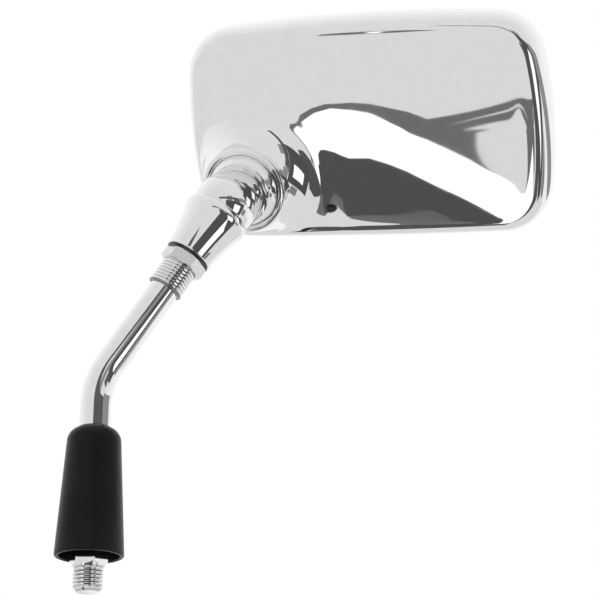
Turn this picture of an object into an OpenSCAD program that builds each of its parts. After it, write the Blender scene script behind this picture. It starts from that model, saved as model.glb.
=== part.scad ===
// Motorcycle mirror: bent stem with a threaded stud, elbow with a ball, rectangular head.
// The origin is the centre of the hexagon's lower face, where the stud leaves it. Z is up the stud's axis.
// The head has its own frame: origin at the ball's centre, +X along its width, +Z out of its back.

/* [Stem] */
// Diameter of the bent rod
rod_d = 10.5; // [8:0.5:10.5]
// Angle between the stem's lower and upper stretch
stem_bend = 32.7; // [20:0.1:50]
// Height of the point where the two axes cross
bend_z = 63.5; // [63:0.5:90]
// Radius of the bend, at the rod's axis
bend_r = 28; // [20:1:30]
// Diameter of the threaded stud
stud_d = 10; // [8:0.5:10.5]
// Length of the stud below the hexagon
stud_len = 8; // [6:0.5:30]
// Length and depth of the stud's chamfered tip
stud_tip = 1.4; // [0.5:0.1:2]
// Width across the flats of the spanner hexagon
hex_af = 11; // [10.6:0.1:13]
// Height of the spanner hexagon
hex_h = 7; // [5:0.5:10]
// Turn of the spanner hexagon about the stud's axis
hex_turn = 25; // [0:5:60]

/* [Upper thread] */
// Outer diameter of the threaded bush
bush_d = 12.5; // [11.5:0.1:13.5]
// Distance from the bend's point to the bush's lower end, along the upper axis
bush_start = 40.8; // [34:0.2:44]
// Length of the threaded bush
bush_len = 26; // [24:0.5:28]
// Chamfer at the bush's ends
bush_chamfer = 0.6; // [0.2:0.1:1]
// Width across the flats of the lock nut
nut_af = 14.2; // [14.2:0.1:18]
// Height of the lock nut
nut_h = 4.4; // [3:0.1:6]
// Turn of the lock nut about the upper axis
nut_turn = 6; // [0:1:60]
// Thickness of the black ring between nut and elbow
washer_h = 1.2; // [0.8:0.1:2]

/* [Elbow] */
// Distance from the bend's point to the elbow's lower end, along the upper axis
cone_start = 56; // [54:0.2:58]
// Length of the elbow's cone
cone_len = 21; // [19:0.5:26]
// Diameter of the cone's lower end
cone_end_d = 16.8; // [15.5:0.1:18]
// Largest diameter of the cone, under the knuckle
cone_top_d = 23.8; // [22.6:0.1:26]
// Radius of the cone's upper edge
cone_round = 1.6; // [0.8:0.1:2]
// Angle between the stem's upper axis and the arm
elbow_bend = 45; // [30:1:55]
// Turn of the arm about the stem's upper axis
elbow_turn = 97; // [60:1:130]
// Diameter of the arm and of its knuckle
arm_d = 22.4; // [19:0.1:22.6]
// Distance from the knuckle's centre to the ball's centre
arm_len = 23.4; // [22:0.2:30]
// Diameter of the ball
ball_d = 28; // [27:0.5:28]

/* [Head] */
// Width of the head, without the bulge of its sides
head_w = 132; // [120:1:160]
// Height of the head, without the bulge of its edges
head_h = 79.4; // [76:0.2:100]
// Radius of the head's corners
corner_r = 17.5; // [16:0.5:20]
// Bulge of the two short sides
side_bulge = 1.7; // [0.5:0.1:3]
// Bulge of the upper edge
top_bulge = 1.8; // [0.5:0.1:3]
// Bulge of the lower edge
bottom_bulge = 0.8; // [0.5:0.1:3]
// Distance from the rim's plane to the ball's centre
head_depth = 22; // [22:0.5:26]
// Straight part of the side wall, from the rim
side_wall = 5; // [4:0.5:6]
// Radius of the shoulder between side wall and back
shoulder_r = 9; // [8:0.5:10]
// Rise of the back from its shoulder to its middle
crown = 2.6; // [1:0.2:4]
// Width over which the back flares into the boss
flare_w = 14; // [8:1:20]
// Distance of the ball from the head's near side, without the side's bulge
ball_to_side = 22.5; // [22.5:0.5:34]
// Distance of the ball from the head's lower edge, without the edge's bulge
ball_to_bottom = 22.6; // [22.6:0.2:28]
// Turn of the head about the arm's axis
head_turn = 125; // [90:1:150]
// Wall of the head's shell
shell_t = 1.8; // [1.4:0.1:2]
// Height of the boss's lip above the ball's centre
lip_z = 4.2; // [3.8:0.1:5]
// Width of the boss's lip
lip_w = 2.4; // [2:0.1:3]

/* [Glass] */
// Radius of the convex glass
glass_r = 1200; // [1000:50:2000]
// Thickness of the glass
glass_t = 2; // [1.8:0.1:2.2]
// How far the glass's middle stands out of the rim's plane
glass_proud = 0.6; // [0.2:0.1:1]
// Rubber between the glass's edge and the shell
gasket_t = 1.4; // [1:0.1:2]
// How far the gasket's lip covers the glass
gasket_lip = 2; // [1.5:0.1:4]
// Thickness of the gasket's lip
gasket_lip_t = 0.8; // [0.6:0.1:1.2]
// Thickness of the backing plate
plate_t = 1.8; // [1.4:0.1:2]
// Distance from the rim's plane to the front of the backing plate
plate_z = 4; // [3.8:0.1:4.2]
// Distance from the glass's edge to the edge of the foam pad
pad_inset = 5; // [3:0.5:10]

/* [Ball clamp] */
// Wall of the ball seats
seat_t = 1; // [0.8:0.1:1.1]
// Height of the outer seat's lower edge below the ball's centre
outer_seat_drop = 1.4; // [0.8:0.1:1.6]
// Angle from the ball's axis to the inner seat's outer edge
seat_outer_angle = 58; // [52:1:60]
// Angle from the ball's axis to the inner seat's inner edge
seat_inner_angle = 26; // [20:1:30]
// Radius of the clamp plate, between its three ears
clamp_r = 17; // [16:0.5:17.5]
// Depth of the clamp plate's upper face below the ball's centre
clamp_z = 9.8; // [9.4:0.1:10.2]
// Thickness of the clamp plate
clamp_t = 1.6; // [1.2:0.1:1.8]
// Radius of the circle that the clamp screws stand on
screw_circle = 17.8; // [17.8:0.1:18.2]
// Turn of the first clamp screw about the ball's axis
screw_turn = -15; // [-18:1:-12]
// Angle between neighbouring clamp screws
screw_step = 60; // [56:1:62]
// Diameter of the clamp screws
screw_d = 2.9; // [2.5:0.1:3]
// Length of the clamp screws under their heads
screw_len = 8; // [6:0.5:8.5]
// Diameter of the screw heads
screw_head_d = 5.4; // [5:0.1:5.6]
// Height of the screw heads
screw_head_h = 1.9; // [1.5:0.1:2.2]
// Thickness of the spring washers
spring_t = 0.4; // [0.3:0.05:0.5]
// Height of a spring washer's cone
spring_rise = 0.4; // [0.2:0.1:0.5]

/* [Boot] */
// Height of the boot's lower edge above the origin
boot_z = 3.6; // [1:0.2:4]
// Height of the boot
boot_h = 45.4; // [40:0.2:46]
// Diameter of the boot's lower edge
boot_d = 23; // [21:0.5:28]
// Diameter of the boot under its shoulder
boot_top_d = 18.2; // [17.6:0.2:20]
// Radius of the boot's shoulder
boot_round = 5; // [3:0.5:5]
// Wall of the boot
boot_t = 1.5; // [1.5:0.1:2.2]
// Thickness of the boot's closed top
boot_top_t = 7; // [5:0.5:10]

/* [Fits] */
// Radial clearance of a piece that turns or slides on another
turn_gap = 0.05; // [0.02:0.01:0.1]
// Gap between the ball and the lip of the boss
lip_gap = 0.35; // [0.3:0.05:0.4]
// Gap round the ball seats, in the boss and in the clamp plate
seat_gap = 0.3; // [0.25:0.05:0.4]
// Clearance between pieces that rest on each other
rest_gap = 0.05; // [0.02:0.01:0.1]

/* [Hidden] */
$fn = 96;

rod_r = rod_d/2;
bush_r = bush_d/2;
ball_r = ball_d/2;
arm_r = arm_d/2;
bend_len = bend_r*tan(stem_bend/2);
bush_end = bush_start+bush_len;
knuckle_rise = 1.5;
knuckle_at = cone_start+cone_len+knuckle_rise;
washer_start = cone_start-rest_gap-washer_h;
nut_start = washer_start-rest_gap-nut_h;

// Places along the upper axis, from the bend's point.
module on_upper(t) {
    translate([0, 0, bend_z]) rotate([0, stem_bend, 0]) translate([0, 0, t]) children();
}

// The ball's centre, with +Z along the arm, away from the knuckle.
module on_ball() {
    on_upper(knuckle_at) rotate([0, 0, elbow_turn]) rotate([0, elbow_bend, 0])
        translate([0, 0, arm_len]) children();
}

// The head's frame, with the ball's centre as its origin.
module on_head() {
    on_ball() rotate([180, 0, 0]) rotate([0, 0, head_turn]) children();
}

// Stem: rod, spanner hexagon and stud, in one piece
straight_top = bend_z-bend_len;
joint_overlap = 1;
hex_corner = hex_af/sqrt(3);
hex_chamfer = 2;
hex_top_chamfer = 0.8;

// The rod is a little thinner in the bend.
module bent_rod() {
    thinning = 0.02;
    lap = 0.4;
    translate([0, 0, hex_h-joint_overlap]) cylinder(r=rod_r, h=straight_top-hex_h+joint_overlap+lap);
    translate([bend_r, 0, straight_top]) rotate([90, 0, 0]) rotate([0, 0, 180-stem_bend])
        rotate_extrude(angle=stem_bend) translate([bend_r, 0]) circle(r=rod_r-thinning);
    on_upper(bend_len-lap) cylinder(r=rod_r, h=bush_end-bend_len+lap);
}

module hexagon() {
    side = hex_corner+0.1;
    intersection() {
        rotate([0, 0, hex_turn]) cylinder(r=hex_corner, h=hex_h, $fn=6);
        rotate_extrude() polygon([[0, 0], [stud_d/2+0.2, 0], [side, hex_chamfer],
            [side, hex_h-hex_top_chamfer], [rod_r, hex_h], [0, hex_h]]);
    }
}

module stem() {
    color("gainsboro") union() {
        bent_rod();
        hexagon();
        rotate_extrude() polygon([[0, -stud_len], [stud_d/2-stud_tip, -stud_len],
            [stud_d/2, stud_tip-stud_len], [stud_d/2, joint_overlap], [0, joint_overlap]]);
    }
}

// Upper thread: bush on the rod, lock nut and black ring
module thread_bush() {
    inner = rod_r+rest_gap;
    color("silver") on_upper(bush_start) rotate_extrude() polygon([
        [inner, 0], [bush_r-bush_chamfer, 0], [bush_r, bush_chamfer],
        [bush_r, bush_len-bush_chamfer], [bush_r-bush_chamfer, bush_len], [inner, bush_len]]);
}

module lock_nut() {
    corner = nut_af/sqrt(3);
    chamfer_h = (corner-nut_af/2)*0.5;
    color("silver") on_upper(nut_start) difference() {
        intersection() {
            rotate([0, 0, nut_turn]) cylinder(r=corner, h=nut_h, $fn=6);
            rotate_extrude() polygon([[0, 0], [nut_af/2, 0], [corner+0.1, chamfer_h],
                [corner+0.1, nut_h-chamfer_h], [nut_af/2, nut_h], [0, nut_h]]);
        }
        translate([0, 0, -1]) cylinder(r=bush_r+turn_gap, h=nut_h+2);
    }
}

module end_washer() {
    outer = cone_end_d/2-0.3;
    color("black") on_upper(washer_start) rotate_extrude() polygon([
        [bush_r+turn_gap, 0], [outer-0.2, 0], [outer, 0.2],
        [outer, washer_h-0.2], [outer-0.2, washer_h], [bush_r+turn_gap, washer_h]]);
}

// Boot: tapered rubber cap, closed round the rod at its top and open below
module rubber_boot() {
    foot_r = boot_d/2;
    top_r = boot_top_d/2;
    shoulder_z = boot_h-boot_round;
    inner_top = boot_h-boot_top_t;
    inner_top_r = top_r-boot_t;
    edge = 0.5;
    color([0.08, 0.08, 0.08]) translate([0, 0, boot_z]) rotate_extrude() polygon(concat(
        [[foot_r-boot_t, 0], [foot_r-edge, 0], [foot_r, edge]],
        [for (a=[0:10:90]) [top_r-boot_round+boot_round*cos(a), shoulder_z+boot_round*sin(a)]],
        [[rod_r+turn_gap, boot_h], [rod_r+turn_gap, inner_top+1.5],
            [inner_top_r-1.2, inner_top+1.2], [inner_top_r, inner_top]]));
}

// Elbow: cone round the bush, knuckle, arm and ball, in one piece
module elbow_cone() {
    end_r = cone_end_d/2;
    top_r = cone_top_d/2;
    edge = 0.6;
    // The wall leans out a little faster near its top.
    lean = 0.55;
    top_z = cone_len-cone_round;
    rotate_extrude() polygon(concat(
        [[0, 0], [end_r-edge, 0], [end_r, edge]],
        [for (i=[1:8]) let(s=i/8) [end_r+(top_r-end_r)*(s*lean+s*s*(1-lean)), edge+(top_z-edge)*s]],
        [for (a=[15:15:90]) [top_r-cone_round+cone_round*cos(a), top_z+cone_round*sin(a)]],
        [[0, cone_len]]));
}

module elbow_arm() {
    bore_end = bush_end+1;
    color("silver") difference() {
        union() {
            on_upper(cone_start) elbow_cone();
            on_ball() rotate_extrude() polygon(concat(
                [for (a=[-90:7.5:0]) [arm_r*cos(a), arm_r*sin(a)-arm_len]], [[arm_r, 0], [0, 0]]));
            on_ball() sphere(r=ball_r);
        }
        on_upper(cone_start-1) cylinder(r=bush_r+turn_gap, h=bore_end-cone_start+1);
    }
}

// Head's outline, in the plane of its rim. Each point comes with its outward normal.
side_steps = 8;
edge_steps = 18;
corner_steps = 7;

// A slightly bulged side from a to b, as an arc: its centre, radius, middle angle and half angle.
function side_arc(a, b, bulge) = let(
    length = norm(b-a),
    radius = (length*length/4+bulge*bulge)/(2*bulge),
    along = (b-a)/length,
    normal = [along.y, -along.x]
) [(a+b)/2+normal*(bulge-radius), radius, atan2(normal.y, normal.x), asin(length/2/radius)];

function unit(angle) = [cos(angle), sin(angle)];

function side_points(arc, steps) = [for (i=[0:steps])
    let(angle=arc[2]-arc[3]+2*arc[3]*i/steps) [arc[0]+(arc[1]+corner_r)*unit(angle), unit(angle)]];

function corner_points(corner, from, to, steps) = [for (i=[1:steps-1])
    let(angle=from+(to-from)*i/steps) [corner+corner_r*unit(angle), unit(angle)]];

ball_x = head_w/2-ball_to_side;
ball_y = head_h/2-ball_to_bottom;
corner_x = head_w/2-corner_r;
corner_y = head_h/2-corner_r;
corners = [for (c=[[1, -1], [1, 1], [-1, 1], [-1, -1]])
    [c.x*corner_x+ball_x, c.y*corner_y+ball_y]];
bulges = [side_bulge, top_bulge, side_bulge, bottom_bulge];
arcs = [for (i=[0:3]) side_arc(corners[i], corners[(i+1)%4], bulges[i])];

function rim_points() = [for (i=[0:3])
    let(next=(i+1)%4, steps=i%2 == 0 ? side_steps : edge_steps,
        from=90*i+arcs[i][3], to=90*(i+1)-arcs[next][3])
    each concat(side_points(arcs[i], steps), corner_points(corners[next], from, to, corner_steps))];

rim = rim_points();
rim_n = len(rim);

function outline(inset) = [for (p=rim) p[0]-inset*p[1]];

module outline_slab(inset, bottom, top) {
    translate([0, 0, bottom]) linear_extrude(height=top-bottom) polygon(outline(inset));
}

// Head's shell: rings of points from the rim over the back to the boss's lip, and back inside
rim_z = -head_depth;
shoulder_z = rim_z+side_wall+shoulder_r;
shoulder_end = 84;
seat_r = ball_r+turn_gap;
seat_outer_r = seat_r+seat_t;
cavity_r = seat_outer_r+seat_gap;
lip_in_r = ball_r+lip_gap;
lip_top_r = sqrt(lip_in_r*lip_in_r-lip_z*lip_z);
lip_step = 1.2;
boss_r = lip_top_r+lip_w;
boss_z = lip_z-0.7;
cavity_z = -1.7;

// Width of the shoulder at a point: less where the boss is close.
function shoulder_w(p) = let(room=norm(p)-boss_r) shoulder_r*room/(room+shoulder_r);

function shoulder_ring(angle, wall) = [for (p=rim)
    let(w=shoulder_w(p[0]), inset=wall+(w-wall)*(1-cos(angle)), xy=p[0]-inset*p[1])
    [xy.x, xy.y, rim_z+side_wall+(shoulder_r-wall)*sin(angle)]];

// The crown over the head's middle, none at the shoulders.
function crown_at(x, y) = let(
    u=(x-ball_x)/(head_w/2-shoulder_r/2), v=(y-ball_y)/(head_h/2-shoulder_r/2)
) crown*max(0, 1-u*u)*max(0, 1-v*v);

// A curve from the shoulder to the boss: flat at its start, rising at its end.
function flare_ring(s, wall, end_r, end_z) = [for (i=[0:rim_n-1])
    let(
        a=shoulder_ring(shoulder_end, wall)[i],
        way=unit(atan2(rim[i][0].y, rim[i][0].x)),
        d=[end_r*way.x, end_r*way.y, end_z],
        far=norm([a.x-d.x, a.y-d.y]),
        reach=flare_w*far/(far+flare_w),
        b=[a.x+(d.x-a.x)*0.4, a.y+(d.y-a.y)*0.4, a.z],
        c=[d.x+reach*way.x, d.y+reach*way.y, a.z],
        q=pow(1-s, 3)*a+3*pow(1-s, 2)*s*b+3*(1-s)*s*s*c+pow(s, 3)*d
    ) [q.x, q.y, q.z+crown_at(q.x, q.y)*(1-pow(s, 6))]];

function boss_ring(radius, z) = [for (p=rim)
    let(way=unit(atan2(p[0].y, p[0].x))) [radius*way.x, radius*way.y, z]];

function at_z(ring, z) = [for (p=ring) [p.x, p.y, z]];

ledge_z = plate_z+plate_t+0.2;
ledge_w = 1;
flare_steps = 11;
shell_rings = concat(
    [at_z(outline(0.5), rim_z), at_z(outline(0), rim_z+0.5)],
    [for (angle=[0:14:shoulder_end]) shoulder_ring(angle, 0)],
    [for (i=[1:flare_steps]) flare_ring(i/flare_steps, 0, boss_r, boss_z)],
    [boss_ring(boss_r-0.35, lip_z-0.2), boss_ring(boss_r-1, lip_z), boss_ring(lip_top_r+0.15, lip_z),
        boss_ring(lip_top_r+0.02, lip_z-0.15),
        boss_ring(sqrt(pow(lip_in_r, 2)-pow(lip_z-lip_step, 2)), lip_z-lip_step),
        boss_ring(sqrt(pow(cavity_r, 2)-pow(lip_z-lip_step, 2)), lip_z-lip_step-0.05),
        boss_ring(sqrt(pow(cavity_r, 2)-2), sqrt(2)), boss_ring(cavity_r, 0)],
    [for (i=[7:-1:1]) flare_ring(i/7, shell_t, cavity_r, cavity_z)],
    [for (angle=[shoulder_end:-21:21]) shoulder_ring(angle, shell_t+(angle < 30 ? ledge_w*0.6 : 0))],
    [at_z(outline(shell_t+ledge_w), rim_z+ledge_z), at_z(outline(shell_t), rim_z+ledge_z-0.05),
        at_z(outline(shell_t), rim_z)]);

function shell_faces(rings) = [for (j=[0:rings-1], i=[0:rim_n-1])
    let(k=(j+1)%rings, m=(i+1)%rim_n) [j*rim_n+i, k*rim_n+i, k*rim_n+m, j*rim_n+m]];

screw_angles = [for (i=[0:2]) screw_turn+screw_step*i];
post_r = 2.4;
post_top = cavity_z-0.2;

module at_screw(i, z) {
    rotate([0, 0, screw_angles[i]]) translate([screw_circle, 0, z]) children();
}

screw_head_z = -clamp_z-clamp_t-spring_t-spring_rise-2*rest_gap;

// Pad on the far side from the screws, which the clamp plate rests on
rest_r = 2;
rest_circle = 16.4;
rest_top = -6;

module mirror_housing() {
    color("gainsboro") on_head() difference() {
        union() {
            polyhedron(points=[for (ring=shell_rings) each ring], faces=shell_faces(len(shell_rings)),
                convexity=6);
            for (i=[0:2]) at_screw(i, -clamp_z+rest_gap) cylinder(r=post_r, h=post_top+clamp_z-rest_gap);
            rotate([0, 0, screw_angles[1]+180]) translate([rest_circle, 0, -clamp_z+rest_gap])
                cylinder(r=rest_r, h=rest_top+clamp_z-rest_gap);
        }
        for (i=[0:2]) at_screw(i, -clamp_z-1)
            cylinder(d=screw_d+2*rest_gap, h=screw_len+screw_head_z+clamp_z+1+0.4);
    }
}

// Glass, pad and plate in their rubber
glass_inset = shell_t+gasket_t;
plate_top = rim_z+plate_z+plate_t;
glass_reach = norm([head_w, head_h])/2+shell_t;
glass_steps = 12;

// The space behind a surface parallel to the glass's front, up to a flat top.
// depth is the surface's distance behind the glass's front.
module behind_glass(depth, top) {
    translate([ball_x, ball_y, 0]) rotate_extrude() polygon(concat(
        [[0, top]],
        [for (i=[0:glass_steps]) let(r=glass_reach*i/glass_steps)
            [r, rim_z-glass_proud+depth+glass_r-sqrt(glass_r*glass_r-r*r)]],
        [[glass_reach, top]]));
}

module mirror_glass() {
    color("lightsteelblue") on_head() intersection() {
        outline_slab(glass_inset, rim_z-glass_proud-1, plate_top);
        difference() {
            behind_glass(0, rim_z+plate_z);
            behind_glass(glass_t, rim_z+plate_z+1);
        }
    }
}

module foam_pad() {
    color("dimgray") on_head() intersection() {
        outline_slab(glass_inset+pad_inset, rim_z-1, plate_top);
        behind_glass(glass_t+rest_gap, rim_z+plate_z-rest_gap);
    }
}

module backing_plate() {
    color([0.15, 0.15, 0.16]) on_head() outline_slab(glass_inset, rim_z+plate_z, plate_top);
}

module glass_gasket() {
    below = rim_z-glass_proud-2;
    color("black") on_head() difference() {
        intersection() {
            outline_slab(shell_t+rest_gap, below, plate_top);
            behind_glass(-gasket_lip_t-rest_gap, plate_top+1);
        }
        outline_slab(glass_inset+gasket_lip, below-1, plate_top+1);
        intersection() {
            outline_slab(glass_inset-rest_gap, below-1, plate_top+1);
            behind_glass(-rest_gap, plate_top+2);
        }
    }
}

// Ball clamp
function arc_points(radius, from, to, steps) =
    [for (i=[0:steps]) let(angle=from+(to-from)*i/steps) radius*unit(angle)];

module seat_ring(from, to) {
    rotate_extrude() polygon(concat(arc_points(seat_r, from, to, 8), arc_points(seat_outer_r, to, from, 8)));
}

module outer_ball_seat() {
    top = asin((lip_z-lip_step-0.05-2*rest_gap)/seat_outer_r);
    color("ivory") on_head() seat_ring(-asin(outer_seat_drop/seat_r), top);
}

module inner_ball_seat() {
    color("ivory") on_head() seat_ring(seat_inner_angle-90, seat_outer_angle-90);
}

// The clamp plate's hole is a cone that clears the inner seat's sphere.
function hole_at(z) = sqrt(pow(seat_outer_r+seat_gap, 2)-z*z);

module clamp_plate() {
    lap = 0.5;
    color("slategray") on_head() translate([0, 0, -clamp_z-clamp_t]) difference() {
        linear_extrude(height=clamp_t) difference() {
            union() {
                circle(r=clamp_r);
                for (angle=screw_angles) rotate(angle) translate([screw_circle, 0]) circle(r=post_r);
            }
            for (angle=screw_angles) rotate(angle) translate([screw_circle, 0]) circle(d=screw_d+2*rest_gap);
        }
        translate([0, 0, -lap]) cylinder(r1=hole_at(clamp_z+clamp_t+lap), r2=hole_at(clamp_z-lap),
            h=clamp_t+2*lap);
    }
}

module clamp_screw(i) {
    recess = 1;
    color("silver") on_head() at_screw(i, screw_head_z) difference() {
        union() {
            cylinder(d=screw_d, h=screw_len);
            translate([0, 0, -screw_head_h]) rotate_extrude() polygon([[0, 0], [screw_head_d/2-0.7, 0],
                [screw_head_d/2-0.15, 0.5], [screw_head_d/2, 1], [screw_head_d/2, screw_head_h],
                [0, screw_head_h]]);
        }
        for (turn=[0, 90]) rotate([0, 0, turn])
            translate([-1.4, -0.35, -screw_head_h-1]) cube([2.8, 0.7, recess+1]);
    }
}

module spring_washer(i) {
    inner = screw_d/2+rest_gap;
    outer = screw_head_d/2+0.2;
    color("dimgray") on_head() at_screw(i, -clamp_z-clamp_t-rest_gap-spring_t-spring_rise)
        rotate_extrude() polygon([[inner, 0], [outer, spring_rise],
            [outer, spring_rise+spring_t], [inner, spring_t]]);
}

stem();
thread_bush();
lock_nut();
end_washer();
rubber_boot();
elbow_arm();
mirror_housing();
mirror_glass();
glass_gasket();
foam_pad();
backing_plate();
outer_ball_seat();
inner_ball_seat();
clamp_plate();
clamp_screw(0);  // clamp_screw_1
clamp_screw(1);  // clamp_screw_2
clamp_screw(2);  // clamp_screw_3
spring_washer(0);  // spring_washer_1
spring_washer(1);  // spring_washer_2
spring_washer(2);  // spring_washer_3
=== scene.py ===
import bpy
import bmesh
import math
from mathutils import Matrix, Vector


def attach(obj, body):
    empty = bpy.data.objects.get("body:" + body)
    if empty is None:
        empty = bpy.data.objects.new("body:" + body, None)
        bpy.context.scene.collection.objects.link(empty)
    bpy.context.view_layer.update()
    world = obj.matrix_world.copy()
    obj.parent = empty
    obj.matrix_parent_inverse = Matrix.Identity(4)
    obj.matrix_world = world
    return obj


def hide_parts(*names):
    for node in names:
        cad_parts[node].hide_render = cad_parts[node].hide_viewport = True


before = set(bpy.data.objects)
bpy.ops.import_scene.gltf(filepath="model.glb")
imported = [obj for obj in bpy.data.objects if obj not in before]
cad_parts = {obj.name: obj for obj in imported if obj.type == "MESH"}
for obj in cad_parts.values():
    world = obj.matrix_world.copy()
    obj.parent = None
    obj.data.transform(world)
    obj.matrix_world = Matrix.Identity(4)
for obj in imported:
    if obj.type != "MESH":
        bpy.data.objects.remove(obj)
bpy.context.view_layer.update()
print("stage: frame loaded")

mm = 0.001
mergeGap = 1e-5   # points nearer than this become one

# the camera stands where the photograph was taken from, a little low and looking up
camera = {
    "place": (0.0691, -0.5150, -0.1125),
    "rise": 21.8,      # degrees above level
    "roll": -0.21,
    "lens": 96.0,
    "film": 36,
    "clip": (0.01, 50),
}


def addCamera(values):
    rise = math.radians(values["rise"])
    roll = math.radians(values["roll"])
    forward = Vector((0, math.cos(rise), math.sin(rise)))
    right = Vector((1, 0, 0))
    up = Vector((0, -math.sin(rise), math.cos(rise)))
    side = right * math.cos(roll) + up * math.sin(roll)
    top = side.cross(forward)
    data = bpy.data.cameras.new("photoCamera")
    data.lens = values["lens"]
    data.sensor_width = values["film"]
    data.clip_start, data.clip_end = values["clip"]
    eye = bpy.data.objects.new("photoCamera", data)
    turn = Matrix((side, top, -forward)).transposed()
    eye.matrix_world = Matrix.Translation(values["place"]) @ turn.to_4x4()
    bpy.context.scene.collection.objects.link(eye)
    bpy.context.scene.camera = eye


addCamera(camera)
print("stage: camera")

# sizes of stem and elbow in millimetres, as in the solids; the other pieces are placed from them
stem = {"rodR": 5.25, "bend": 32.7, "bendZ": 63.5, "bendR": 28, "studR": 5, "studLen": 8,
        "hexCorner": 6.351, "hexH": 7, "hexTurn": 25}
elbow = {"bend": 45, "turn": 97, "knuckleAt": 78.5, "armLen": 23.4, "armR": 11.2, "ballR": 14}
onStem = Matrix.Identity(4)


def turned(angle, axis):
    return Matrix.Rotation(math.radians(angle), 4, axis)


# a place at a distance along the stem's upper axis, measured from its bend
def onUpper(distance):
    return (Matrix.Translation((0, 0, stem["bendZ"])) @ turned(stem["bend"], "Y")
            @ Matrix.Translation((0, 0, distance)))


onBall = (onUpper(elbow["knuckleAt"]) @ turned(elbow["turn"], "Z") @ turned(elbow["bend"], "Y")
          @ Matrix.Translation((0, 0, elbow["armLen"])))


# every material is one shader with noise on Object coordinates for its detail
def newMaterial(name):
    material = bpy.data.materials.new(name)
    material.use_nodes = True
    nodes = material.node_tree.nodes
    nodes.clear()
    out = nodes.new("ShaderNodeOutputMaterial")
    shader = nodes.new("ShaderNodeBsdfPrincipled")
    material.node_tree.links.new(shader.outputs[0], out.inputs[0])
    return material, nodes, material.node_tree.links, shader


def noiseOn(nodes, links, scale, detail):
    place = nodes.new("ShaderNodeTexCoord")
    noise = nodes.new("ShaderNodeTexNoise")
    noise.inputs["Scale"].default_value = scale
    noise.inputs["Detail"].default_value = detail
    links.new(place.outputs["Object"], noise.inputs["Vector"])
    return noise


def ramp(nodes, links, source, low, high, fromValue=0.35, toValue=0.65):
    spread = nodes.new("ShaderNodeMapRange")
    spread.inputs["From Min"].default_value = fromValue
    spread.inputs["From Max"].default_value = toValue
    spread.inputs["To Min"].default_value = low
    spread.inputs["To Max"].default_value = high
    links.new(source, spread.inputs["Value"])
    return spread


def tint(nodes, links, source, dark, light, fromValue=0.35, toValue=0.65):
    colours = nodes.new("ShaderNodeValToRGB")
    colours.color_ramp.elements[0].position = fromValue
    colours.color_ramp.elements[0].color = (*dark, 1)
    colours.color_ramp.elements[1].position = toValue
    colours.color_ramp.elements[1].color = (*light, 1)
    links.new(source, colours.inputs[0])
    return colours


def bumpFrom(nodes, links, shader, source, strength, distance):
    bump = nodes.new("ShaderNodeBump")
    bump.inputs["Strength"].default_value = strength
    bump.inputs["Distance"].default_value = distance
    links.new(source, bump.inputs["Height"])
    links.new(bump.outputs[0], shader.inputs["Normal"])


chromes = {
    "polishedChrome": {"dark": (0.85, 0.85, 0.855), "light": (0.88, 0.88, 0.885), "rough": (0.015, 0.03),
                       "scale": 220, "ripple": 0.004, "rippleScale": 60, "rippleDepth": 0.0004},
    "castChrome": {"dark": (0.84, 0.84, 0.845), "light": (0.87, 0.87, 0.875), "rough": (0.02, 0.04),
                   "scale": 220, "ripple": 0.008, "rippleScale": 110, "rippleDepth": 0.0004},
}


def chromeMaterial(name, values):
    material, nodes, links, shader = newMaterial(name)
    shader.inputs["Metallic"].default_value = 1
    fine = noiseOn(nodes, links, values["scale"], 4)
    broad = noiseOn(nodes, links, values["rippleScale"], 2)
    colour = tint(nodes, links, fine.outputs[0], values["dark"], values["light"])
    links.new(colour.outputs[0], shader.inputs["Base Color"])
    rough = ramp(nodes, links, broad.outputs[0], *values["rough"])
    links.new(rough.outputs[0], shader.inputs["Roughness"])
    bumpFrom(nodes, links, shader, broad.outputs[0], values["ripple"], values["rippleDepth"])
    return material


rubbers = {
    "bootRubber": {"dark": (0.004, 0.004, 0.0045), "light": (0.008, 0.008, 0.0085), "rough": (0.28, 0.40),
                   "grain": 0.15, "scale": 900, "shine": 0.16},
    "gasketRubber": {"dark": (0.012, 0.012, 0.013), "light": (0.022, 0.022, 0.023), "rough": (0.5, 0.7),
                     "grain": 0.2, "scale": 1200, "shine": 0.5},
    "ringRubber": {"dark": (0.010, 0.010, 0.011), "light": (0.016, 0.016, 0.017), "rough": (0.18, 0.26),
                   "grain": 0.05, "scale": 1200, "shine": 0.5},
    "padFoam": {"dark": (0.03, 0.03, 0.03), "light": (0.06, 0.06, 0.06), "rough": (0.85, 0.95),
                "grain": 0.8, "scale": 1500, "shine": 0.5},
    "blackPlastic": {"dark": (0.012, 0.012, 0.013), "light": (0.02, 0.02, 0.021), "rough": (0.35, 0.5),
                     "grain": 0.1, "scale": 700, "shine": 0.5},
    "seatPlastic": {"dark": (0.70, 0.67, 0.58), "light": (0.78, 0.75, 0.67), "rough": (0.35, 0.45),
                    "grain": 0.05, "scale": 400, "shine": 0.5},
}
grainDepth = 0.0003
cloudShare = 0.08     # scale of the broad colour change, as a share of the grain's


def rubberMaterial(name, values):
    material, nodes, links, shader = newMaterial(name)
    fine = noiseOn(nodes, links, values["scale"], 5)
    broad = noiseOn(nodes, links, values["scale"] * cloudShare, 3)
    colour = tint(nodes, links, broad.outputs[0], values["dark"], values["light"])
    links.new(colour.outputs[0], shader.inputs["Base Color"])
    rough = ramp(nodes, links, fine.outputs[0], *values["rough"])
    links.new(rough.outputs[0], shader.inputs["Roughness"])
    shader.inputs["Specular IOR Level"].default_value = values["shine"]
    bumpFrom(nodes, links, shader, fine.outputs[0], values["grain"], grainDepth)
    return material


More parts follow.
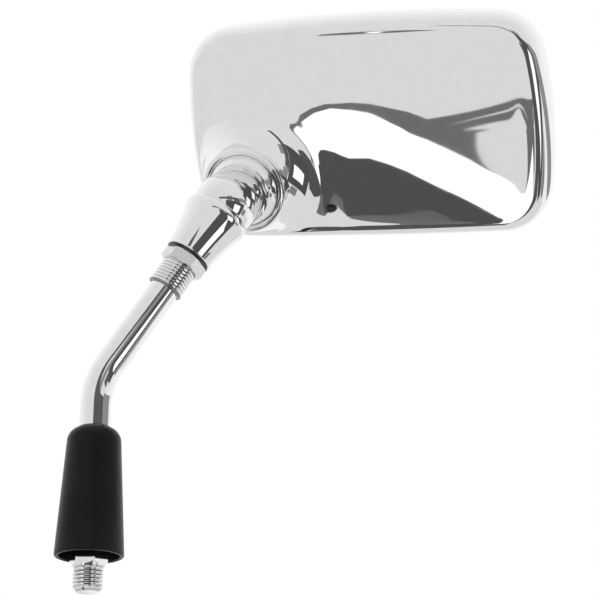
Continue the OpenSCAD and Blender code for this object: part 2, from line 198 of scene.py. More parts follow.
steels = {
    "zincSteel": {"dark": (0.55, 0.56, 0.58), "light": (0.68, 0.69, 0.70), "rough": (0.22, 0.36),
                  "scale": 500},
    "springSteel": {"dark": (0.22, 0.22, 0.23), "light": (0.32, 0.32, 0.33), "rough": (0.3, 0.45),
                    "scale": 500},
    "nutChrome": {"dark": (0.62, 0.62, 0.63), "light": (0.76, 0.76, 0.765), "rough": (0.10, 0.20),
                  "scale": 900},
    "glassSilver": {"dark": (0.88, 0.90, 0.91), "light": (0.90, 0.92, 0.93), "rough": (0.008, 0.012),
                    "scale": 60},
}
steelGrain = {"strength": 0.1, "depth": 0.0002}


def steelMaterial(name, values):
    material, nodes, links, shader = newMaterial(name)
    shader.inputs["Metallic"].default_value = 1
    fine = noiseOn(nodes, links, values["scale"], 4)
    colour = tint(nodes, links, fine.outputs[0], values["dark"], values["light"])
    links.new(colour.outputs[0], shader.inputs["Base Color"])
    rough = ramp(nodes, links, fine.outputs[0], *values["rough"])
    links.new(rough.outputs[0], shader.inputs["Roughness"])
    bumpFrom(nodes, links, shader, fine.outputs[0], steelGrain["strength"], steelGrain["depth"])
    return material


# crest and root colours of the threads; the darker root colour is painted shade in the grooves
threadRootShadeFinish = {"crest": (0.84, 0.84, 0.845), "root": (0.55, 0.55, 0.555), "rough": (0.05, 0.10),
                "scale": 700, "from": 0.15, "to": 0.8}


# painted shade: darker towards the roots, read from the attribute that the threads carry
def threadMaterial(name, values):
    material, nodes, links, shader = newMaterial(name)
    shader.inputs["Metallic"].default_value = 1
    rootShadeMask = nodes.new("ShaderNodeAttribute")
    rootShadeMask.attribute_name = "rootShadeMask"
    colour = tint(nodes, links, rootShadeMask.outputs["Fac"], values["crest"], values["root"],
                  values["from"], values["to"])
    links.new(colour.outputs[0], shader.inputs["Base Color"])
    fine = noiseOn(nodes, links, values["scale"], 3)
    rough = ramp(nodes, links, fine.outputs[0], *values["rough"])
    links.new(rough.outputs[0], shader.inputs["Roughness"])
    return material


finishes = {"threadChrome": threadMaterial("threadChrome", threadRootShadeFinish)}
for make, group in ((chromeMaterial, chromes), (rubberMaterial, rubbers), (steelMaterial, steels)):
    for name, values in group.items():
        finishes[name] = make(name, values)

nodeFinishes = {
    "polishedChrome": ("stem", "thread_bush", "mirror_housing"),
    "castChrome": ("elbow_arm",),
    "nutChrome": ("lock_nut",),
    "bootRubber": ("rubber_boot",),
    "gasketRubber": ("glass_gasket",),
    "padFoam": ("foam_pad",),
    "blackPlastic": ("end_washer", "backing_plate"),
    "seatPlastic": ("outer_ball_seat", "inner_ball_seat"),
    "glassSilver": ("mirror_glass",),
    "zincSteel": ("clamp_plate", "clamp_screw_1", "clamp_screw_2", "clamp_screw_3"),
    "springSteel": ("spring_washer_1", "spring_washer_2", "spring_washer_3"),
}


def dressNode(name, material):
    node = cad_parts[name]
    if not node.material_slots:
        node.data.materials.append(material)
    for slot in node.material_slots:
        slot.material = material


for finish, names in nodeFinishes.items():
    for name in names:
        dressNode(name, finishes[finish])
print("stage: materials")


# merges a piece, turns its faces outwards, sets it in place in metres and puts it on its body
def finishPiece(name, bm, place, body, finish, sharp, replaced=()):
    bmesh.ops.remove_doubles(bm, verts=bm.verts, dist=mergeGap)
    bmesh.ops.recalc_face_normals(bm, faces=bm.faces)
    for face in bm.faces:
        face.smooth = True
    for edge in bm.edges:
        edge.smooth = edge.calc_face_angle(0) < math.radians(sharp)
    mesh = bpy.data.meshes.new(name)
    bm.to_mesh(mesh)
    bm.free()
    mesh.transform(Matrix.Scale(mm, 4) @ place)
    mesh.materials.append(finishes[finish])
    piece = bpy.data.objects.new(name, mesh)
    bpy.context.scene.collection.objects.link(piece)
    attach(piece, body)
    if replaced:
        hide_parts(*replaced)


def unit(angle):
    return Vector((math.cos(angle), math.sin(angle)))


def arcPath(centre, radius, fromAngle, toAngle, steps):
    return [Vector(centre) + radius * unit(math.radians(fromAngle + (toAngle - fromAngle) * i / steps))
            for i in range(steps + 1)]


# a path through points; a third number rounds the corner at that point
def rounded(points, segments):
    path = []
    for i, point in enumerate(points):
        here = Vector(point[:2])
        radius = point[2] if len(point) > 2 else 0
        if not radius or i in (0, len(points) - 1):
            path.append(here)
            continue
        before = (Vector(points[i - 1][:2]) - here).normalized()
        after = (Vector(points[i + 1][:2]) - here).normalized()
        half = before.angle(after) / 2
        reach = radius / math.tan(half)
        centre = here + (before + after).normalized() * (radius / math.sin(half))
        start = here + before * reach - centre
        sweep = start.angle_signed(here + after * reach - centre)
        for k in range(segments + 1):
            turn = -sweep * k / segments
            path.append(centre + Vector((start.x * math.cos(turn) - start.y * math.sin(turn),
                                         start.x * math.sin(turn) + start.y * math.cos(turn))))
    return path


def spun(profile, steps):
    bm = bmesh.new()
    verts = [bm.verts.new((p[0], 0, p[1])) for p in profile]
    edges = [bm.edges.new((a, b)) for a, b in zip(verts, verts[1:])]
    bmesh.ops.spin(bm, geom=verts + edges, cent=(0, 0, 0), axis=(0, 0, 1), angle=2 * math.pi,
                   steps=steps, use_merge=True, use_duplicate=False)
    return bm


# a loop of points is drawn out ring by ring, and joined to its start if it is closed
def sweepRings(rings, closed):
    bm = bmesh.new()
    first = bmesh.ops.create_circle(bm, segments=len(rings[0]), radius=50)["verts"]
    order = {vert: i for i, vert in enumerate(first)}
    for vert, i in order.items():
        vert.co = rings[0][i]
    edges = bm.edges[:]
    start = edges
    for ring in rings[1:]:
        made = bmesh.ops.extrude_edge_only(bm, edges=edges)["geom"]
        edges = [e for e in made if isinstance(e, bmesh.types.BMEdge)
                 and e.verts[0] not in order and e.verts[1] not in order]
        fresh = {}
        for vert in {v for e in edges for v in e.verts}:
            below = next(e.other_vert(vert) for e in vert.link_edges if e.other_vert(vert) in order)
            fresh[vert] = order[below]
        for vert, i in fresh.items():
            vert.co = ring[i]
        order = fresh
    if closed:
        bmesh.ops.bridge_loops(bm, edges=start + edges)
    return bm


# the head's shell, with the ball's centre at its origin and its back towards +Z
head = {"turn": 125, "w": 132, "h": 79.4, "cornerR": 17.5, "depth": 22, "wall": 5, "shoulder": 9,
        "shoulderWide": 5, "joinAngle": 84, "flare": 14, "ballX": 43.5, "ballY": 17.1, "shell": 1.8,
        "lipZ": 4.2, "lipW": 2.4, "lipGap": 0.35, "mouthGap": 0.12, "cavityR": 15.35, "cavityZ": -1.7,
        "sideBulge": 1.7, "topBulge": 1.8, "bottomBulge": 0.8,
        "rimSteps": (28, 56, 24), "backRings": 72, "innerRings": 16}
# the chrome back's own curves: a crown that is fuller near the ball, and a fillet round the boss
back = {"crown": 2.876, "sideways": 2.548, "upwards": 2.442, "leanX": -0.678, "leanY": 0.037, "tight": 0.737,
        "tightLength": 3.2, "broadLength": 6.0, "broadPower": 2.175, "crownStart": 6, "crownEnd": 3.5,
        "under": 0.7}
onHead = onBall @ turned(180, "X") @ turned(head["turn"], "Z")


# centre, radius, middle and half angle of the arc that bulges out of a to b
def sideArc(a, b, bulge):
    length = (b - a).length
    radius = (length * length / 4 + bulge * bulge) / (2 * bulge)
    along = (b - a) / length
    normal = Vector((along.y, -along.x))
    centre = (a + b) / 2 + normal * (bulge - radius)
    return centre, radius, math.atan2(normal.y, normal.x), math.asin(length / 2 / radius)


# points round the rim, each with its outward direction
def rimPoints(sideSteps, edgeSteps, cornerSteps):
    x, y, r = head["w"] / 2 - head["cornerR"], head["h"] / 2 - head["cornerR"], head["cornerR"]
    corners = [Vector((c[0] * x + head["ballX"], c[1] * y + head["ballY"]))
               for c in ((1, -1), (1, 1), (-1, 1), (-1, -1))]
    bulges = (head["sideBulge"], head["topBulge"], head["sideBulge"], head["bottomBulge"])
    arcs = [sideArc(corners[i], corners[(i + 1) % 4], bulges[i]) for i in range(4)]
    points = []
    for i in range(4):
        centre, radius, middle, half = arcs[i]
        after = (i + 1) % 4
        steps = sideSteps if i % 2 == 0 else edgeSteps
        for k in range(steps + 1):
            way = unit(middle - half + 2 * half * k / steps)
            points.append((centre + (radius + r) * way, way))
        start = math.pi / 2 * i + half
        end = math.pi / 2 * (i + 1) - arcs[after][3]
        for k in range(1, cornerSteps):
            way = unit(start + (end - start) * k / cornerSteps)
            points.append((corners[after] + r * way, way))
    return points


rim = rimPoints(*head["rimSteps"])
rimZ = -head["depth"]
shoulderZ = rimZ + head["wall"] + head["shoulder"]
cavityR = head["cavityR"]
seatR = elbow["ballR"] + head["lipGap"]
bossR = math.sqrt(seatR ** 2 - head["lipZ"] ** 2) + head["lipW"]
mouthR = math.sqrt((elbow["ballR"] + head["mouthGap"]) ** 2 - head["lipZ"] ** 2)


def outlineRing(inset, z):
    return [Vector((*(p - inset * n), z)) for p, n in rim]


def bossRing(radius, z):
    return [Vector((*(p.normalized() * radius), z)) for p, n in rim]


def shoulderPoint(p, n, angle, wall):
    room = p.length - bossR
    wide = head["shoulderWide"] if wall == 0 else head["shoulder"]
    width = wide * room / (room + wide)
    xy = p - (wall + (width - wall) * (1 - math.cos(angle))) * n
    return Vector((*xy, rimZ + head["wall"] + (head["shoulder"] - wall) * math.sin(angle)))


def shoulderRing(angle, wall):
    return [shoulderPoint(p, n, math.radians(angle), wall) for p, n in rim]


# distance over the back from the boss to the shoulder, on the line through a rim point
def backReach(p, n):
    return shoulderPoint(p, n, math.pi / 2, 0).xy.length - bossR


def crownAt(x, y):
    u = (x - head["ballX"]) / (head["w"] / 2 - head["shoulder"] / 2)
    v = (y - head["ballY"]) / (head["h"] / 2 - head["shoulder"] / 2)
    flat = (1 - min(1, abs(u)) ** back["sideways"]) * (1 - min(1, abs(v)) ** back["upwards"])
    return back["crown"] * flat * (1 + back["leanX"] * u + back["leanY"] * v)


# height of the back: the shoulder's level, the crown, and the fillet that climbs to the boss
def backZ(x, y, reach):
    away = max(0, math.hypot(x, y) - bossR)
    share = min(1, away / reach)
    fillet = back["tight"] * math.exp(-away / back["tightLength"])
    fillet += (1 - back["tight"]) * math.exp(-(away / back["broadLength"]) ** back["broadPower"])
    height = head["lipZ"] - back["under"] - shoulderZ
    ends = 1 - math.exp(-away / back["crownStart"])
    ends *= 1 - math.exp(-((reach - away) / back["crownEnd"]) ** 2)
    return shoulderZ + crownAt(x, y) * ends + height * fillet * (1 - share * share) ** 1.5


# one ring of the back, at a share s of the way from the shoulder to the boss; close together at both ends
def backRing(s):
    ring = []
    for p, n in rim:
        way = p.normalized()
        start = shoulderPoint(p, n, math.pi / 2, 0).xy
        reach = start.length - bossR
        away = reach * (s * s * (3 - 2 * s) * 0.5 + (1 - (1 - s) ** 1.7) * 0.5)
        spot = start - away / reach * (start - way * bossR)
        ring.append(Vector((*spot, backZ(spot.x, spot.y, reach))))
    return ring


# one ring of the inner wall, on a curve from the shoulder to the cavity round the ball
def flareRing(s, wall, endR, endZ):
    ring = []
    for p, n in rim:
        a = shoulderPoint(p, n, math.radians(head["joinAngle"]), wall)
        way = p.normalized()
        d = Vector((*(way * endR), endZ))
        far = (a - d).xy.length
        reach = head["flare"] * far / (far + head["flare"])
        b = Vector((a.x + (d.x - a.x) * 0.4, a.y + (d.y - a.y) * 0.4, a.z))
        c = Vector((d.x + reach * way.x, d.y + reach * way.y, a.z))
        q = (1 - s) ** 3 * a + 3 * (1 - s) ** 2 * s * b + 3 * (1 - s) * s * s * c + s ** 3 * d
        q.z = min(q.z, backZ(q.x, q.y, backReach(p, n)) - wall * 0.5)
        ring.append(q)
    return ring


def housingRings():
    shell, lipZ = head["shell"], head["lipZ"]
    # the rounded rim and the side wall
    rings = [outlineRing(0.5, rimZ), outlineRing(0.15, rimZ + 0.15), outlineRing(0, rimZ + 0.5),
             outlineRing(0, rimZ + head["wall"] * 0.6)]
    rings += [shoulderRing(angle, 0) for angle in range(0, 91, 5)]
    rings += [backRing(i / head["backRings"]) for i in range(1, head["backRings"] + 1)]
    # radius and height of each ring over the lip, into the mouth and along the seat
    rings += [bossRing(*step) for step in (
        (bossR - 0.12, lipZ - 0.38), (bossR - 0.4, lipZ - 0.13), (bossR - 0.85, lipZ),
        (mouthR + 0.25, lipZ), (mouthR, lipZ - 0.12), (mouthR + 0.06, lipZ - 0.4),
        (math.sqrt(seatR ** 2 - 9), 3), (math.sqrt(cavityR ** 2 - 8.7), 2.95),
        (math.sqrt(cavityR ** 2 - 2), math.sqrt(2)), (cavityR, 0))]
    # the inner wall, back to the rim
    rings += [flareRing(i / head["innerRings"], shell, cavityR, head["cavityZ"])
              for i in range(head["innerRings"], 0, -1)]
    rings += [shoulderRing(angle, shell) for angle in range(head["joinAngle"], 20, -12)]
    rings += [outlineRing(shell + 1, rimZ + 6), outlineRing(shell, rimZ + 5.95), outlineRing(shell, rimZ)]
    return rings


finishPiece("headShell", sweepRings(housingRings(), True), onHead, "head", "polishedChrome",
            40, ["mirror_housing"])
print("stage: head shell")

# the convex glass
glass = {"r": 1200, "thick": 2, "proud": 0.6, "inset": 3.2, "edgeRound": 0.3, "rings": 10}


def glassZ(x, y, behind):
    away = math.hypot(x - head["ballX"], y - head["ballY"])
    return rimZ - glass["proud"] + behind + glass["r"] - math.sqrt(glass["r"] ** 2 - away ** 2)


def glassRing(inset, behind):
    return [Vector((v.x, v.y, glassZ(v.x, v.y, behind))) for v in outlineRing(inset, 0)]


def towardsMiddle(ring, share, behind):
    middle = Vector((head["ballX"], head["ballY"]))
    spots = [middle + (v.xy - middle) * share for v in ring]
    return [Vector((p.x, p.y, glassZ(p.x, p.y, behind))) for p in spots]


def paneRings():
    count, curve = glass["rings"], glass["edgeRound"]
    edge = outlineRing(glass["inset"] + curve, 0)
    rings = [towardsMiddle(edge, i / count, glass["thick"]) for i in range(count + 1)]
    rings += [glassRing(glass["inset"], glass["thick"] - curve), glassRing(glass["inset"], curve)]
    return rings + [towardsMiddle(edge, i / count, 0) for i in range(count, -1, -1)]


finishPiece("mirrorPane", sweepRings(paneRings(), False), onHead, "head", "glassSilver",
            40, ["mirror_glass"])

# the rubber round the glass; its lip is given as distance in from the rim and height over the glass
rubber = {"outer": 1.85, "inner": 3.15, "back": 5.8, "front": 0.5, "seat": -0.05,
          "lip": ((1.95, -0.1), (2.3, -0.5), (2.8, -0.75), (3.4, -0.85), (4.4, -0.8), (5.0, -0.55),
                  (5.2, -0.3), (5.2, -0.05))}


def rubberRings():
    outer, inner, backEnd = rubber["outer"], rubber["inner"], rimZ + rubber["back"]
    rings = [outlineRing(outer, backEnd), outlineRing(outer, rimZ + rubber["front"])]
    rings += [glassRing(inset, behind) for inset, behind in rubber["lip"]]
    return rings + [glassRing(inner, rubber["seat"]), outlineRing(inner, backEnd)]


finishPiece("glassRubber", sweepRings(rubberRings(), True), onHead, "head", "gasketRubber",
            50, ["glass_gasket"])
print("stage: glass")

# the elbow's cone, which widens upwards to the knuckle
cone = {"start": 56, "length": 21, "endR": 8.4, "topR": 11.9, "edge": 0.6, "skirt": 0.55, "round": 4.6,
        "lean": 0.55, "boreR": 6.3, "boreLength": 11.8, "sideSteps": 16, "steps": 144}


def conePath():
    top, low = cone["length"] - cone["round"], cone["edge"] - cone["skirt"]
    path = [Vector((0, cone["boreLength"])), Vector((cone["boreR"], cone["boreLength"])),
            Vector((cone["boreR"], -cone["skirt"]))]
    path += arcPath((cone["endR"] - cone["edge"], low), cone["edge"], -90, 0, 6)
    for i in range(1, cone["sideSteps"] + 1):
        s = i / cone["sideSteps"]
        r = cone["endR"] + (cone["topR"] - cone["endR"]) * (s * cone["lean"] + s * s * (1 - cone["lean"]))
        path.append(Vector((r, low + (top - low) * s)))
    path += arcPath((cone["topR"] - cone["round"], top), cone["round"], 8, 90, 14)
    return path + [Vector((0, cone["length"]))]


finishPiece("elbowCone", spun(conePath(), cone["steps"]), onUpper(cone["start"]), "elbow",
            "castChrome", 50, ["elbow_arm"])

# the round knuckle, the arm and the ball at its end
arm = {"neckEnd": 8.8, "neckGap": 0.25, "ballStart": 1.5, "knuckleSteps": 28, "ballSteps": 48, "steps": 144}


def armPath():
    r, ball, long = elbow["armR"], elbow["ballR"], elbow["armLen"]
    path = arcPath((0, -long), r, -90, 0, arm["knuckleSteps"])
    for share in (0.25, 0.5, 0.75):
        path.append(Vector((r, -long + (long - arm["neckEnd"]) * share)))
    meet = math.degrees(math.asin(r / ball))
    path.append(Vector((r, -math.cos(math.radians(meet)) * ball - arm["neckGap"])))
    path += arcPath((0, 0), ball, -90 + meet + arm["ballStart"], 90, arm["ballSteps"])
    return path


finishPiece("elbowArm", spun(armPath(), arm["steps"]), onBall, "elbow", "castChrome",
            50, ["elbow_arm"])
print("stage: elbow")


# a flat ring with a rounded rim
def ringPath(values):
    outer, height, curve = values["outerR"], values["height"], values["round"]
    path = [Vector((values["innerR"], 0.0))]
    path += arcPath((outer - curve, curve), curve, -90, 0, values["roundSteps"])
    path += arcPath((outer - curve, height - curve), curve, 0, 90, values["roundSteps"])
    return path + [Vector((values["innerR"], height)), path[0]]


# the thin black ring between the nut and the cone
blackRing = {"start": 54.75, "height": 0.65, "innerR": 6.45, "outerR": 8.25, "round": 0.3,
             "roundSteps": 6, "steps": 96}
finishPiece("blackRing", spun(ringPath(blackRing), blackRing["steps"]), onUpper(blackRing["start"]), "nut",
            "ringRubber", 50, ["end_washer"])

# the threads of the stud and the bush; the profile is rise from root to crest, and share of the pitch
thread = {"pitch": 1.25, "studDepth": 0.26, "bushDepth": 0.08, "steps": 40, "bushR": 6.25,
          "bushStart": 40.8, "bushLength": 26, "bushChamfer": 0.6, "tip": 1.4, "hidden": 0.2,
          "profile": ((0, 0), (0, 0.12), (1, 0.45), (1, 0.6), (0, 0.95), (0, 1))}


def threadMesh(radius, depth, start, end, limit):
    pitch, root = thread["pitch"], radius - depth
    turns = int((end - start) / pitch) + 3   # spare turns at both ends are cut off
    bm = bmesh.new()
    spots = [(radius if rise else root, pitch * share) for rise, share in thread["profile"]]
    verts = [bm.verts.new((r, 0, start - 1.5 * pitch + z)) for r, z in spots]
    edges = [bm.edges.new(pair) for pair in zip(verts, verts[1:])]
    bmesh.ops.spin(bm, geom=verts + edges, cent=(0, 0, 0), axis=(0, 0, 1),
                   dvec=(0, 0, pitch / thread["steps"]), angle=2 * math.pi * turns,
                   steps=thread["steps"] * turns, use_merge=False, use_duplicate=False)
    bmesh.ops.remove_doubles(bm, verts=bm.verts, dist=1e-3)
    for z, way in ((start, -1), (end, 1)):
        cut = bmesh.ops.bisect_plane(bm, geom=bm.verts[:] + bm.edges[:] + bm.faces[:], plane_co=(0, 0, z),
                                     plane_no=(0, 0, way), clear_outer=True)
        edges = [e for e in cut["geom_cut"] if isinstance(e, bmesh.types.BMEdge)]
        bmesh.ops.contextual_create(bm, geom=edges)
    # mask for the painted shade in the thread roots
    rootShadeMask = bm.verts.layers.float.new("rootShadeMask")   # 0 on the crests, 1 in the roots
    for vert in bm.verts:
        reach = limit(vert.co.z)
        r = math.hypot(vert.co.x, vert.co.y)
        vert[rootShadeMask] = min(1, max(0, (radius - r) / depth))
        if r > reach:
            vert.co.x *= reach / r
            vert.co.y *= reach / r
    return bm


def studLimit(z):
    return min(stem["studR"], stem["studR"] - thread["tip"] + (z + stem["studLen"]))


def bushLimit(z):
    ends = min(z, thread["bushLength"] - z)
    return min(thread["bushR"], thread["bushR"] - thread["bushChamfer"] + ends)


studThread = threadMesh(stem["studR"], thread["studDepth"], -stem["studLen"], thread["hidden"], studLimit)
finishPiece("studThread", studThread, onStem, "stem", "threadChrome", 30, ["stem"])
bushThread = threadMesh(thread["bushR"], thread["bushDepth"], 0, thread["bushLength"], bushLimit)
finishPiece("bushThread", bushThread, onUpper(thread["bushStart"]), "stem", "threadChrome",
            30, ["thread_bush"])

# a dark ring that paints the shade in the gap where the bush ends on the rod
bushGapShade = {"below": 0.1, "height": 0.55, "innerR": 5.4, "outerR": 6.35, "round": 0.2,
            "roundSteps": 4, "steps": 96}
finishPiece("bushGapShade", spun(ringPath(bushGapShade), bushGapShade["steps"]),
            onUpper(thread["bushStart"] - bushGapShade["below"]), "stem", "springSteel", 50)

rod = {"segments": 96, "bendSteps": 32, "inHexagon": 0.5, "inBush": 0.5}


def ofKind(made, kind):
    return [part for part in made if isinstance(part, kind)]


# a circle drawn up, spun round the bend and drawn on into the bush
def rodMesh():
    bend = math.radians(stem["bend"])
    reach = stem["bendR"] * math.tan(bend / 2)
    low, high = stem["hexH"] - rod["inHexagon"], stem["bendZ"] - reach
    bm = bmesh.new()
    bmesh.ops.create_circle(bm, segments=rod["segments"], radius=stem["rodR"])
    bmesh.ops.translate(bm, vec=(0, 0, low), verts=bm.verts)
    ring = bm.edges[:]
    bmesh.ops.contextual_create(bm, geom=ring)
    made = bmesh.ops.extrude_edge_only(bm, edges=ring)["geom"]
    bmesh.ops.translate(bm, vec=(0, 0, high - low), verts=ofKind(made, bmesh.types.BMVert))
    made = bmesh.ops.spin(bm, geom=ofKind(made, bmesh.types.BMEdge), cent=(stem["bendR"], 0, high),
                          axis=(0, 1, 0), angle=bend, steps=rod["bendSteps"], use_merge=False,
                          use_duplicate=False)["geom_last"]
    made = bmesh.ops.extrude_edge_only(bm, edges=ofKind(made, bmesh.types.BMEdge))["geom"]
    length = thread["bushStart"] + thread["bushLength"] - rod["inBush"] - reach
    bmesh.ops.translate(bm, vec=(length * math.sin(bend), 0, length * math.cos(bend)),
                        verts=ofKind(made, bmesh.types.BMVert))
    bmesh.ops.contextual_create(bm, geom=ofKind(made, bmesh.types.BMEdge))
    return bm


finishPiece("rod", rodMesh(), onStem, "stem", "polishedChrome", 40, ["stem"])

# the spanner hexagon: a prism crossed with a turned blank, which gives its corners their chamfers
hexagon = {"lowR": 5.2, "highR": 5.4, "lowChamfer": 2, "highChamfer": 0.8, "over": 0.2, "steps": 96}


def hexagonMesh():
    bm = bmesh.new()
    bmesh.ops.create_cone(bm, cap_ends=True, segments=6, radius1=stem["hexCorner"], radius2=stem["hexCorner"],
                          depth=stem["hexH"])
    bmesh.ops.translate(bm, vec=(0, 0, stem["hexH"] / 2), verts=bm.verts)
    bmesh.ops.rotate(bm, cent=(0, 0, 0), matrix=turned(stem["hexTurn"], "Z").to_3x3(), verts=bm.verts)
    return bm


def chamferBlank():
    outer, height = stem["hexCorner"] + hexagon["over"], stem["hexH"]
    points = ((0, 0), (hexagon["lowR"], 0), (outer, hexagon["lowChamfer"]),
              (outer, height - hexagon["highChamfer"]), (hexagon["highR"], height), (0, height))
    return spun([Vector(p) for p in points], hexagon["steps"])


def crossed(bm, other):
    holders = []
    for part in (bm, other):
        bmesh.ops.remove_doubles(part, verts=part.verts, dist=mergeGap)
        bmesh.ops.recalc_face_normals(part, faces=part.faces)
        mesh = bpy.data.meshes.new("blank")
        part.to_mesh(mesh)
        part.free()
        holder = bpy.data.objects.new("blank", mesh)
        bpy.context.scene.collection.objects.link(holder)
        holders.append(holder)
    cut = holders[0].modifiers.new("cross", "BOOLEAN")
    cut.operation = "INTERSECT"
    cut.solver = "EXACT"
    cut.object = holders[1]
    depsgraph = bpy.context.evaluated_depsgraph_get()
    made = bpy.data.meshes.new_from_object(holders[0].evaluated_get(depsgraph))
    result = bmesh.new()
    result.from_mesh(made)
    for holder in holders:
        mesh = holder.data
        bpy.data.objects.remove(holder)
        bpy.data.meshes.remove(mesh)
    bpy.data.meshes.remove(made)
    return result


finishPiece("spannerHexagon", crossed(hexagonMesh(), chamferBlank()), onStem, "stem",
            "polishedChrome", 12, ["stem"])
print("stage: stem")

# the boot, open below and closed round the rod above
boot = {"z": 3.6, "height": 43.8, "footR": 11.5, "topR": 9.1, "round": 5, "wall": 1.5, "holeR": 5.3,
        "topThick": 7, "thinner": 0.3, "lipRound": 0.25, "steps": 128}


def bootPath():
    foot, top, height, hole = boot["footR"], boot["topR"], boot["height"], boot["holeR"]
    inner, ceiling = top - boot["wall"] - boot["thinner"], height - boot["topThick"]
    points = [(hole, ceiling), (inner, ceiling, 2), (foot - boot["wall"], 0, 0.5), (foot, 0, 0.7),
              (top, height - boot["round"])]
    path = rounded(points, 6)[:-1]
    path += arcPath((top - boot["round"], height - boot["round"]), boot["round"], 0, 88, 14)
    return path + [Vector((hole + boot["lipRound"], height - 0.05)), Vector((hole, height - 0.3)), path[0]]


finishPiece("bootSleeve", spun(bootPath(), boot["steps"]), Matrix.Translation((0, 0, boot["z"])), "boot",
            "bootRubber", 60, ["rubber_boot"])
print("stage: boot")

# a pale floor and an even white world, dimmer on the camera's side
studio = {"floorZ": -1.2, "floorHalf": 4, "floorDark": (0.86, 0.86, 0.86),
          "floorLight": (0.868, 0.868, 0.868), "floorRough": 0.9, "paperScale": 12,
          "world": 1.0, "front": 0.80, "fade": (-0.6, 0.5), "cardZ": -1.15}

# dark and bright cards that only reflections see; corners in metres on the level cardZ
floorCards = {
    "greyFlag": {"glow": 0.13, "lift": 0, "corners": [
        (-1.04, -0.70), (-1.062, -0.801), (-1.033, -0.920), (-0.992, -0.990), (-0.902, -1.010),
        (-0.835, -0.984), (-0.753, -0.941), (-0.683, -0.908), (-0.614, -0.868), (-0.560, -0.844),
        (-0.527, -0.836), (-0.506, -0.834), (-0.494, -0.845), (-0.488, -0.867), (-0.470, -0.90),
        (-0.44, -0.93), (-0.30, -0.10), (-0.56, -0.10), (-0.66, -0.28), (-0.80, -0.48),
        (-0.93, -0.62)]},
    "softBox": {"glow": 1.3, "lift": 0.004, "corners": [
        (-1.025, -0.737), (-0.993, -0.868), (-0.940, -0.943), (-0.862, -0.935), (-0.792, -0.903),
        (-0.704, -0.841), (-0.639, -0.807), (-0.585, -0.792), (-0.535, -0.766), (-0.491, -0.738),
        (-0.473, -0.717), (-0.440, -0.700), (-0.44, -0.50), (-0.496, -0.523), (-0.516, -0.547),
        (-0.572, -0.593), (-0.623, -0.621), (-0.685, -0.646), (-0.739, -0.624), (-0.818, -0.640),
        (-0.888, -0.638), (-0.96, -0.67)]},
    "blackFlag": {"glow": 0.05, "lift": 0.008, "corners": [
        (-0.91, -0.635), (-0.818, -0.640), (-0.739, -0.624), (-0.685, -0.646), (-0.623, -0.621),
        (-0.572, -0.593), (-0.516, -0.547), (-0.496, -0.523), (-0.46, -0.50), (-0.46, -0.38),
        (-0.505, -0.36), (-0.525, -0.215), (-0.57, -0.12), (-0.63, -0.27), (-0.77, -0.47),
        (-0.87, -0.59)]},
    "filletFlag": {"glow": 0.06, "lift": 0.012, "corners": [
        (-0.43, -0.95), (-0.43, -1.3), (-0.1, -2.0), (0.6, -2.0), (0.6, -0.55),
        (0.1, -0.35), (-0.43, -0.38)]},
}

# the same, hung round the elbow or the rod: left, right, low and high in degrees, 0 towards the camera
atElbow, atRod = (0.045, 0.0, 0.135), (0.0, 0.0, 0.05)
hungCards = {
    "elbowFlag": {"glow": 0.05, "centre": atElbow, "distance": 1.2, "span": (8, 80, -52, -3)},
    "elbowStreak": {"glow": 1.2, "centre": atElbow, "distance": 1.05, "span": (41, 66, -38, -13)},
    "upperFlag": {"glow": 0.25, "centre": atElbow, "distance": 1.15, "span": (12, 30, -4, 13)},
    "armFlag": {"glow": 0.10, "centre": atElbow, "distance": 1.18, "span": (37, 62, -8, 3)},
    "sideFlag": {"glow": 0.2, "centre": atElbow, "distance": 1.1, "span": (82, 97, -30, -14)},
    "rodFlag": {"glow": 0.08, "centre": atRod, "distance": 0.33, "span": (-8, 60, 15, 22)},
    "rodSideFlag": {"glow": 0.26, "centre": atRod, "distance": 0.40, "span": (60, 118, 12, 22)},
}
hungSteps = 8


def stageObject(name, bm, material):
    mesh = bpy.data.meshes.new(name)
    bm.to_mesh(mesh)
    bm.free()
    mesh.materials.append(material)
    thing = bpy.data.objects.new(name, mesh)
    bpy.context.scene.collection.objects.link(thing)
    return thing


def lightMaterial(name, strength):
    material, nodes, links, shader = newMaterial(name)
    shader.inputs["Base Color"].default_value = (0, 0, 0, 1)
    shader.inputs["Emission Color"].default_value = (1, 1, 1, 1)
    shader.inputs["Emission Strength"].default_value = strength
    return material


def placeCard(name, bm, glow):
    card = stageObject(name, bm, lightMaterial(name, glow))
    card.visible_camera = False
    card.visible_diffuse = False
    card.visible_shadow = False
    card.visible_transmission = False


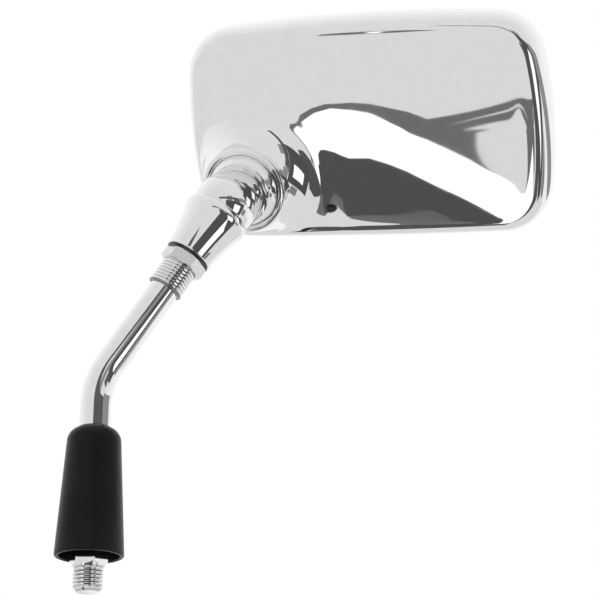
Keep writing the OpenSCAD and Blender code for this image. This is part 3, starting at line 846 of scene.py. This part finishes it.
def floorCard(name, values):
    bm = bmesh.new()
    level = studio["cardZ"] + values["lift"]
    bmesh.ops.contextual_create(bm, geom=[bm.verts.new((x, y, level)) for x, y in values["corners"]])
    bmesh.ops.triangulate(bm, faces=bm.faces)
    placeCard(name, bm, values["glow"])


def towards(values, side, rise):
    side, rise = math.radians(side), math.radians(rise)
    way = Vector((math.sin(side) * math.cos(rise), -math.cos(side) * math.cos(rise), math.sin(rise)))
    return Vector(values["centre"]) + values["distance"] * way


def hungCard(name, values):
    left, right, low, high = values["span"]
    bm = bmesh.new()
    foot = bm.verts.new(towards(values, left, low))
    top = bm.verts.new(towards(values, left, high))
    edge = bm.edges.new((foot, top))
    bmesh.ops.spin(bm, geom=[foot, top, edge], cent=values["centre"], axis=(0, 0, 1),
                   angle=math.radians(right - left), steps=hungSteps, use_merge=False, use_duplicate=False)
    placeCard(name, bm, values["glow"])


def stageFloor():
    paint, nodes, links, shader = newMaterial("palePaper")
    paper = noiseOn(nodes, links, studio["paperScale"], 4)
    paperTint = tint(nodes, links, paper.outputs[0], studio["floorDark"], studio["floorLight"])
    links.new(paperTint.outputs[0], shader.inputs["Base Color"])
    shader.inputs["Roughness"].default_value = studio["floorRough"]
    bm = bmesh.new()
    bmesh.ops.create_grid(bm, x_segments=1, y_segments=1, size=studio["floorHalf"])
    bmesh.ops.translate(bm, vec=(0, 0, studio["floorZ"]), verts=bm.verts)
    stageObject("floor", bm, paint)


def studioWorld():
    world = bpy.data.worlds.new("studio")
    world.use_nodes = True
    nodes, links = world.node_tree.nodes, world.node_tree.links
    sky = nodes.new("ShaderNodeTexCoord")
    split = nodes.new("ShaderNodeSeparateXYZ")
    links.new(sky.outputs["Generated"], split.inputs[0])
    shade = ramp(nodes, links, split.outputs["Y"], studio["front"], studio["world"], *studio["fade"])
    nodes["Background"].inputs[0].default_value = (1, 1, 1, 1)
    links.new(shade.outputs[0], nodes["Background"].inputs[1])
    bpy.context.scene.world = world
    bpy.context.scene.view_settings.view_transform = "Standard"


stageFloor()
for name, values in floorCards.items():
    floorCard(name, values)
for name, values in hungCards.items():
    hungCard(name, values)
studioWorld()
print("stage: light")
